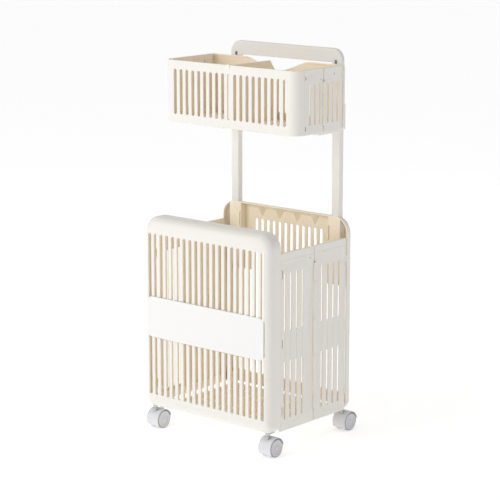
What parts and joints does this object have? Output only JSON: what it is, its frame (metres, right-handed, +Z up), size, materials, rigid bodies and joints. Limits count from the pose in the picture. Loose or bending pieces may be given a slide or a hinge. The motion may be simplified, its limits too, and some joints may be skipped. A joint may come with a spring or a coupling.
{
  "type": "laundry sorter on wheels",
  "caption": "Slatted plastic laundry sorter: a deep folding basket on swivel casters, and a divided upper basket on posts with a handle.",
  "frame": {"origin": "on the floor, under the middle of the outline", "axes": "+Z up, front towards -Y, +X to the right seen from behind the basket's back to its front"},
  "size_m": [0.446, 0.3588, 0.989],
  "materials": {
    "shell": "warm ivory moulded plastic, satin",
    "label": "smooth white plastic, soft gloss",
    "hood": "pale grey moulded plastic",
    "wheel": "mid grey, satin",
    "steel": "drawn steel",
    "dark_steel": "dark plated steel"
  },
  "bodies": {
    "frame": {"rear_panel": "shell", "floor_hinge_rod": "steel", "left_post": "shell", "right_post": "shell", "left_bracket": "shell", "right_bracket": "shell", "handle_board": "shell", "left_handle_clip": "dark_steel", "right_handle_clip": "dark_steel", "upper_front_panel": "shell", "upper_rear_panel": "shell", "upper_floor": "shell", "lower_left_rear_pin": "steel", "upper_left_front_leaf": "shell", "upper_left_rear_leaf": "shell", "upper_left_middle_pin": "steel", "upper_left_front_pin": "steel", "upper_left_rear_pin": "steel", "lower_right_rear_pin": "steel", "upper_right_front_leaf": "shell", "upper_right_rear_leaf": "shell", "upper_right_middle_pin": "steel", "upper_right_front_pin": "steel", "upper_right_rear_pin": "steel", "rear_left_caster_stem": "steel", "rear_right_caster_stem": "steel"},
    "front_face": {"front_panel": "shell", "label_plate": "label", "left_floor_catch": "shell", "right_floor_catch": "shell", "lower_left_front_pin": "steel", "lower_right_front_pin": "steel", "front_left_caster_stem": "steel", "front_right_caster_stem": "steel"},
    "floor": {"floor_panel": "shell"},
    "divider": {"divider": "shell"},
    "left_rear_leaf": {"lower_left_rear_leaf": "shell", "lower_left_middle_pin": "steel"},
    "left_front_leaf": {"lower_left_front_leaf": "shell"},
    "right_rear_leaf": {"lower_right_rear_leaf": "shell", "lower_right_middle_pin": "steel"},
    "right_front_leaf": {"lower_right_front_leaf": "shell"},
    "front_left_caster_fork": {"front_left_caster_hood": "hood", "front_left_caster_axle": "steel"},
    "front_left_caster_left_wheel": {"front_left_caster_left_wheel": "wheel"},
    "front_left_caster_right_wheel": {"front_left_caster_right_wheel": "wheel"},
    "front_right_caster_fork": {"front_right_caster_hood": "hood", "front_right_caster_axle": "steel"},
    "front_right_caster_left_wheel": {"front_right_caster_left_wheel": "wheel"},
    "front_right_caster_right_wheel": {"front_right_caster_right_wheel": "wheel"},
    "rear_left_caster_fork": {"rear_left_caster_hood": "hood", "rear_left_caster_axle": "steel"},
    "rear_left_caster_left_wheel": {"rear_left_caster_left_wheel": "wheel"},
    "rear_left_caster_right_wheel": {"rear_left_caster_right_wheel": "wheel"},
    "rear_right_caster_fork": {"rear_right_caster_hood": "hood", "rear_right_caster_axle": "steel"},
    "rear_right_caster_left_wheel": {"rear_right_caster_left_wheel": "wheel"},
    "rear_right_caster_right_wheel": {"rear_right_caster_right_wheel": "wheel"}
  },
  "joints": [
    {"name": "fold", "type": "hinge", "parent": "frame", "child": "right_rear_leaf", "pos_m": [0.205, 0.125, 0.3], "axis": [0, 0, -1], "range_deg": [0, 85]},
    {"name": "right_front_leaf_fold", "type": "hinge", "parent": "right_rear_leaf", "child": "right_front_leaf", "pos_m": [0.21, -0.001, 0.3], "axis": [0, 0, 1], "range_deg": [0, 170]},
    {"name": "front_face_fold", "type": "hinge", "parent": "right_front_leaf", "child": "front_face", "pos_m": [0.205, -0.127, 0.3], "axis": [0, 0, -1], "range_deg": [0, 85]},
    {"name": "left_rear_leaf_fold", "type": "hinge", "parent": "frame", "child": "left_rear_leaf", "pos_m": [-0.205, 0.125, 0.3], "axis": [0, 0, 1], "range_deg": [0, 85]},
    {"name": "left_front_leaf_fold", "type": "hinge", "parent": "left_rear_leaf", "child": "left_front_leaf", "pos_m": [-0.21, -0.001, 0.3], "axis": [0, 0, -1], "range_deg": [0, 170]},
    {"name": "floor_tip_up", "type": "hinge", "parent": "frame", "child": "floor", "pos_m": [0, 0.14, 0.0585], "axis": [-1, 0, 0], "range_deg": [0, 90]},
    {"name": "divider_lift", "type": "slide", "parent": "frame", "child": "divider", "axis": [0, 0, 1], "range_m": [0, 0.17]},
    {"name": "front_left_caster_swivel", "type": "hinge", "parent": "front_face", "child": "front_left_caster_fork", "pos_m": [-0.1905, -0.1585, 0.0505], "axis": [0, 0, 1], "continuous": true},
    {"name": "front_left_caster_left_roll", "type": "hinge", "parent": "front_left_caster_fork", "child": "front_left_caster_left_wheel", "pos_m": [-0.1905, -0.1455, 0.024], "axis": [1, 0, 0], "continuous": true},
    {"name": "front_left_caster_right_roll", "type": "hinge", "parent": "front_left_caster_fork", "child": "front_left_caster_right_wheel", "pos_m": [-0.1905, -0.1455, 0.024], "axis": [1, 0, 0], "continuous": true},
    {"name": "front_right_caster_swivel", "type": "hinge", "parent": "front_face", "child": "front_right_caster_fork", "pos_m": [0.1905, -0.1585, 0.0505], "axis": [0, 0, 1], "continuous": true},
    {"name": "front_right_caster_left_roll", "type": "hinge", "parent": "front_right_caster_fork", "child": "front_right_caster_left_wheel", "pos_m": [0.1905, -0.1455, 0.024], "axis": [1, 0, 0], "continuous": true},
    {"name": "front_right_caster_right_roll", "type": "hinge", "parent": "front_right_caster_fork", "child": "front_right_caster_right_wheel", "pos_m": [0.1905, -0.1455, 0.024], "axis": [1, 0, 0], "continuous": true},
    {"name": "rear_left_caster_swivel", "type": "hinge", "parent": "frame", "child": "rear_left_caster_fork", "pos_m": [-0.1905, 0.14, 0.0505], "axis": [0, 0, 1], "continuous": true},
    {"name": "rear_left_caster_left_roll", "type": "hinge", "parent": "rear_left_caster_fork", "child": "rear_left_caster_left_wheel", "pos_m": [-0.1905, 0.153, 0.024], "axis": [1, 0, 0], "continuous": true},
    {"name": "rear_left_caster_right_roll", "type": "hinge", "parent": "rear_left_caster_fork", "child": "rear_left_caster_right_wheel", "pos_m": [-0.1905, 0.153, 0.024], "axis": [1, 0, 0], "continuous": true},
    {"name": "rear_right_caster_swivel", "type": "hinge", "parent": "frame", "child": "rear_right_caster_fork", "pos_m": [0.1905, 0.14, 0.0505], "axis": [0, 0, 1], "continuous": true},
    {"name": "rear_right_caster_left_roll", "type": "hinge", "parent": "rear_right_caster_fork", "child": "rear_right_caster_left_wheel", "pos_m": [0.1905, 0.153, 0.024], "axis": [1, 0, 0], "continuous": true},
    {"name": "rear_right_caster_right_roll", "type": "hinge", "parent": "rear_right_caster_fork", "child": "rear_right_caster_right_wheel", "pos_m": [0.1905, 0.153, 0.024], "axis": [1, 0, 0], "continuous": true}
  ],
  "couplings": [
    {"joint": "right_front_leaf_fold", "follows": "fold", "ratio": 2},
    {"joint": "front_face_fold", "follows": "fold", "ratio": 1},
    {"joint": "left_rear_leaf_fold", "follows": "fold", "ratio": 1},
    {"joint": "left_front_leaf_fold", "follows": "fold", "ratio": 2}
  ]
}
